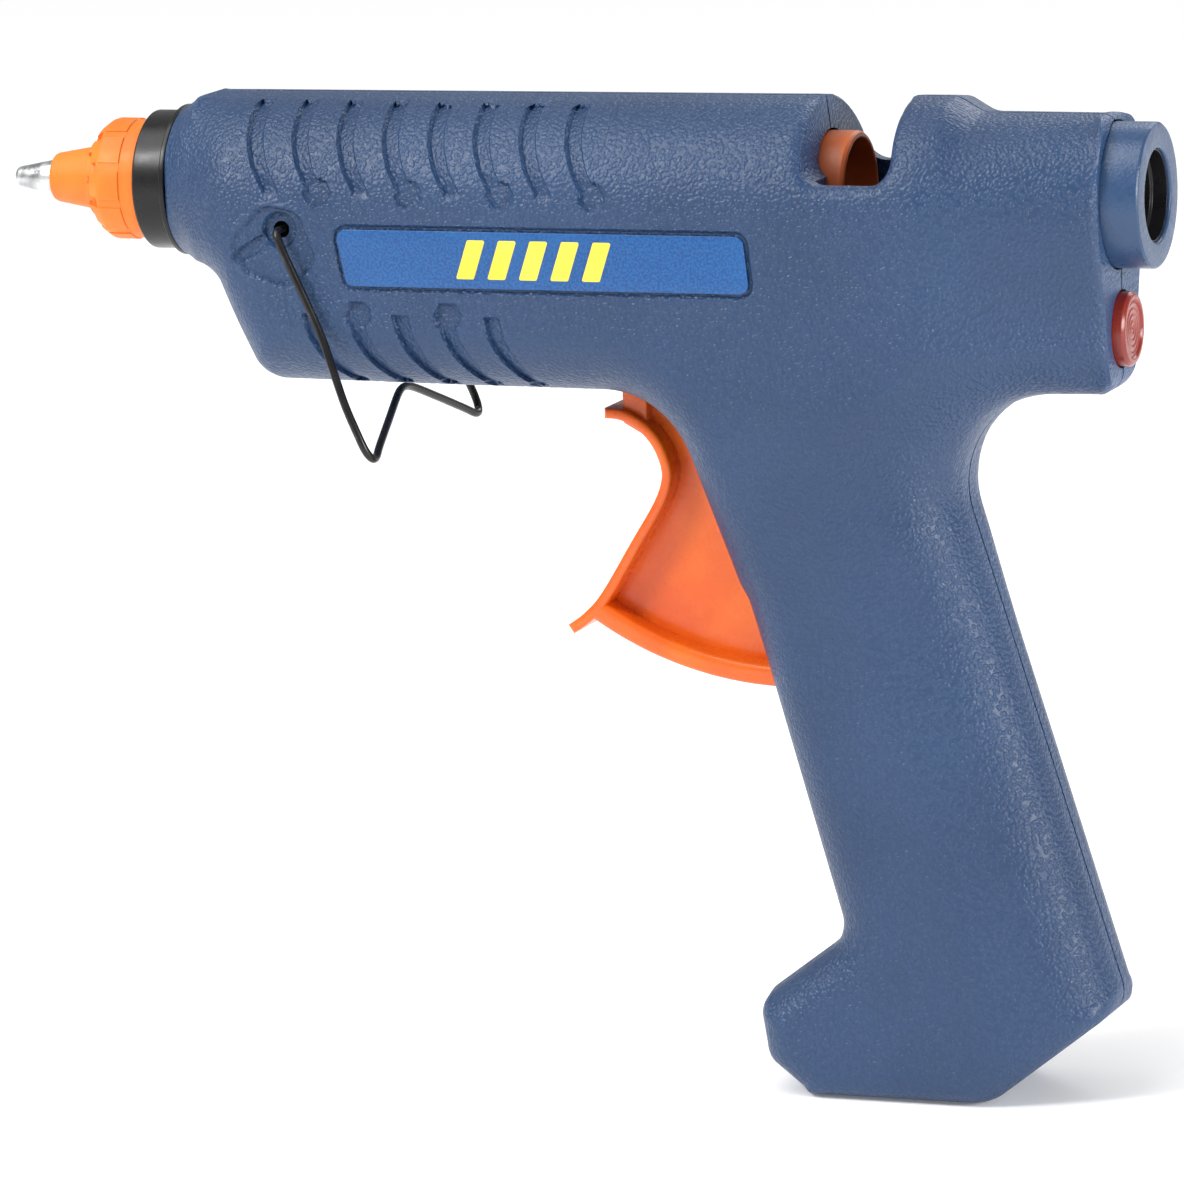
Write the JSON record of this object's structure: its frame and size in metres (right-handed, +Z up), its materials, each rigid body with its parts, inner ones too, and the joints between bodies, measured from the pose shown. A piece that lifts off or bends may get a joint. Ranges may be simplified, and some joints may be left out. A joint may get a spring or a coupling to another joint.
{
  "type": "glue gun",
  "caption": "Hot-melt glue gun with a moulded pistol body, nozzle with insulating cap, folding wire stand, squeeze trigger and rear stick mouth",
  "frame": {"origin": "under the middle of the gun's length, on the plane of the handle's foot", "axes": "+X towards the stick mouth, -X towards the nozzle, +Z up, Y across the gun"},
  "size_m": [0.205, 0.0542, 0.1686],
  "materials": {
    "body_plastic": "fine leather-grain moulded plastic, navy blue",
    "collar_plastic": "satin moulded plastic, navy blue",
    "cap_silicone": "matt orange silicone",
    "trigger_plastic": "semi-gloss orange moulded plastic",
    "carriage_plastic": "satin orange-brown moulded plastic",
    "black_plastic": "gloss black heat-resisting plastic",
    "button_plastic": "red moulded plastic with turned rings",
    "label_film": "printed film label, blue with plain yellow bars",
    "nozzle_metal": "turned metal, dulled by heat",
    "cast_metal": "cast aluminium",
    "steel": "plated steel",
    "stand_wire": "gloss black coated steel wire",
    "brass": "bright brass",
    "ceramic": "unglazed ceramic",
    "silicone_grey": "matt grey silicone",
    "lead_jacket": "silicone lead insulation"
  },
  "bodies": {
    "body": {"button_spring": "steel", "chamber_support": "ceramic", "heat_ring": "black_plastic", "heater_clip": "steel", "heater_terminal_1": "brass", "heater_terminal_2": "brass", "inlet_pin_1": "brass", "inlet_pin_2": "brass", "inlet_sleeve": "silicone_grey", "lead_live": "lead_jacket", "lead_neutral": "lead_jacket", "lead_switched": "lead_jacket", "left_label": "label_film", "left_shell": "body_plastic", "melt_chamber": "cast_metal", "nozzle_cap": "cap_silicone", "nozzle_tip": "nozzle_metal", "power_inlet": "black_plastic", "ptc_heater": "ceramic", "rear_collar": "collar_plastic", "return_spring": "steel", "right_label": "label_film", "right_shell": "body_plastic", "shell_screw_1": "steel", "shell_screw_2": "steel", "shell_screw_3": "steel", "shell_screw_4": "steel", "shell_screw_5": "steel", "shell_screw_6": "steel", "sleeve_clamp": "steel", "switch_body": "black_plastic", "switch_terminal_1": "brass", "switch_terminal_2": "brass", "trigger_pin": "steel"},
    "trigger": {"trigger": "trigger_plastic"},
    "carriage": {"feed_carriage": "carriage_plastic", "clamp_pin": "steel"},
    "clamp": {"stick_clamp": "steel"},
    "stand": {"wire_stand": "stand_wire"},
    "button": {"power_button": "button_plastic"}
  },
  "joints": [
    {"name": "trigger_squeeze", "type": "hinge", "parent": "body", "child": "trigger", "pos_m": [0.0383, 0, 0.1318], "axis": [0, -1, 0], "range_deg": [0, 16], "stiffness_Nm_per_rad": 0.12, "springref_deg": -5.73, "deforming": ["return_spring"]},
    {"name": "carriage_feed", "type": "slide", "parent": "body", "child": "carriage", "axis": [-1, 0, 0], "range_m": [0, 0.00598]},
    {"name": "stick_grip", "type": "hinge", "parent": "carriage", "child": "clamp", "pos_m": [0.029, 0, 0.1406], "axis": [0, 1, 0], "range_deg": [0, 4.8]},
    {"name": "stand_swing", "type": "hinge", "parent": "body", "child": "stand", "pos_m": [-0.0456, 0, 0.147], "axis": [0, 1, 0], "range_deg": [0, 85]},
    {"name": "button_press", "type": "slide", "parent": "body", "child": "button", "axis": [-1, 0, 0], "range_m": [0, 0.0015], "stiffness_N_per_m": 400, "deforming": ["button_spring"]}
  ],
  "couplings": [
    {"joint": "carriage_feed", "follows": "trigger_squeeze", "m_per_rad": 0.0214},
    {"joint": "stick_grip", "follows": "trigger_squeeze", "ratio": 0.3}
  ]
}
